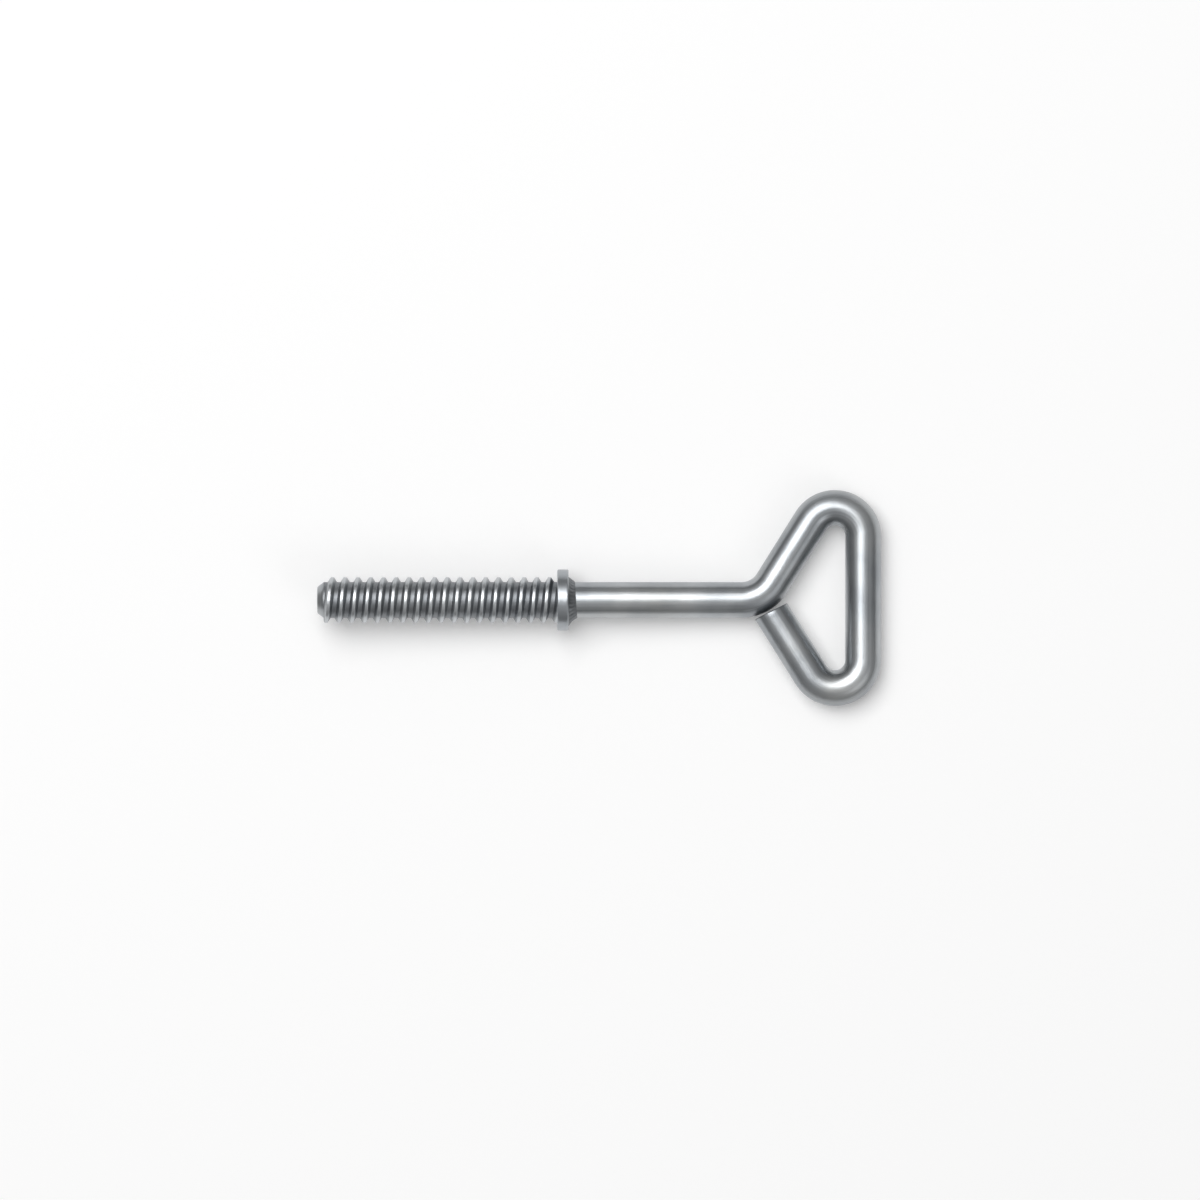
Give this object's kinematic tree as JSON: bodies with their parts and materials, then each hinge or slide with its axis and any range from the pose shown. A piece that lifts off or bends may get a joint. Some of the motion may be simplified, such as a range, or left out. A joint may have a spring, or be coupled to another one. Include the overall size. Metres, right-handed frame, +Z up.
{
  "type": "wing screw",
  "caption": "Wing screw bent from round steel rod, with a coarse left-hand threaded end, a flat welded collar and a triangular finger grip.",
  "frame": {"origin": "on the screw's axis, in the plane of the collar's flat seat on the thread side", "axes": "+X from the thread towards the grip, +Y across the grip towards the arm that the shank bends into, +Z up; the screw lies on the rim of its collar and the far side of its grip, so its own axis leans 2.437 degrees about Y, with the grip end down"},
  "size_m": [0.1253, 0.0481, 0.0142],
  "materials": {
    "plated_steel": "bright zinc plate over drawn steel, with a soft sheen",
    "plated_weld": "zinc plate over a rippled weld bead, a little duller than the rod"
  },
  "bodies": {
    "root": {"threaded_rod": "plated_steel", "collar": "plated_steel", "collar_weld": "plated_weld"}
  },
  "joints": []
}
